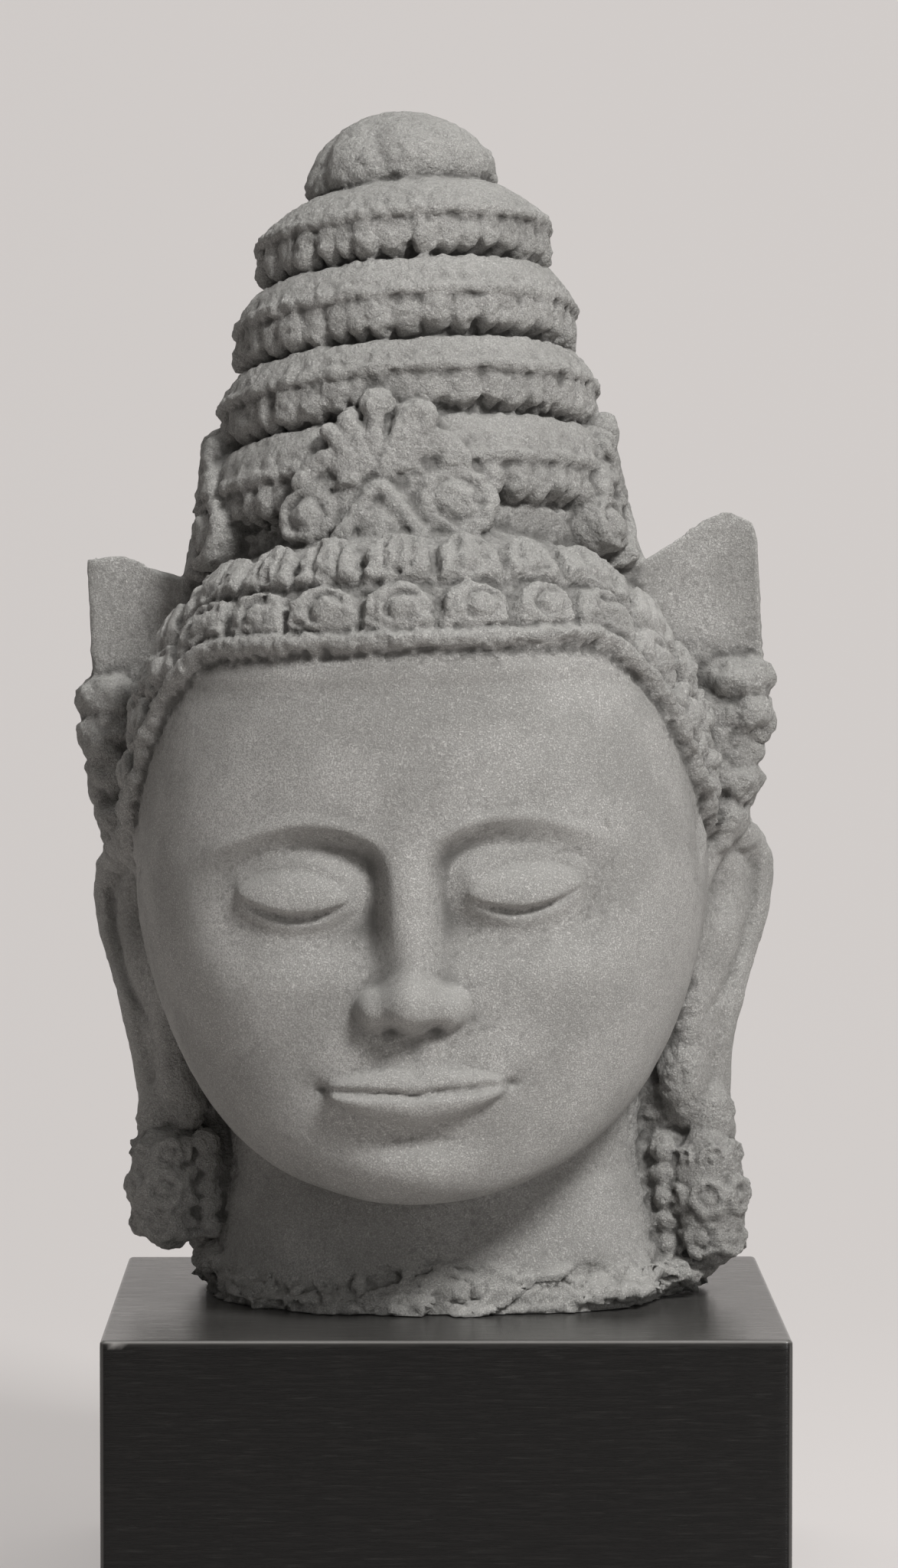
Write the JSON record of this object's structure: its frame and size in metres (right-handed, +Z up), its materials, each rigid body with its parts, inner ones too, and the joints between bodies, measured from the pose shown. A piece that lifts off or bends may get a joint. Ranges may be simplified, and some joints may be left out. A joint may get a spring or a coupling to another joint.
{
  "type": "bodhisattva head sculpture on a plinth",
  "caption": "Carved sandstone head with a tall tiered chignon, diadem, long ears with pendants and a broken neck, on a black wooden plinth.",
  "frame": {"origin": "middle of the plinth's flat underside", "axes": "+Z up, the plinth's front face looks along -Y and the stone face looks nearly along -Y, +X to the viewer's right"},
  "size_m": [0.2261, 0.2081, 0.4681],
  "materials": {
    "sandstone": "carved grey sandstone, sandy and worn, darker in its recesses, with a lighter fresh break at the neck",
    "ebonised_wood": "black-stained wood with a satin wax, fine grain and rubbed edges"
  },
  "bodies": {
    "root": {"stone_head": "sandstone", "wooden_plinth": "ebonised_wood"}
  },
  "joints": []
}
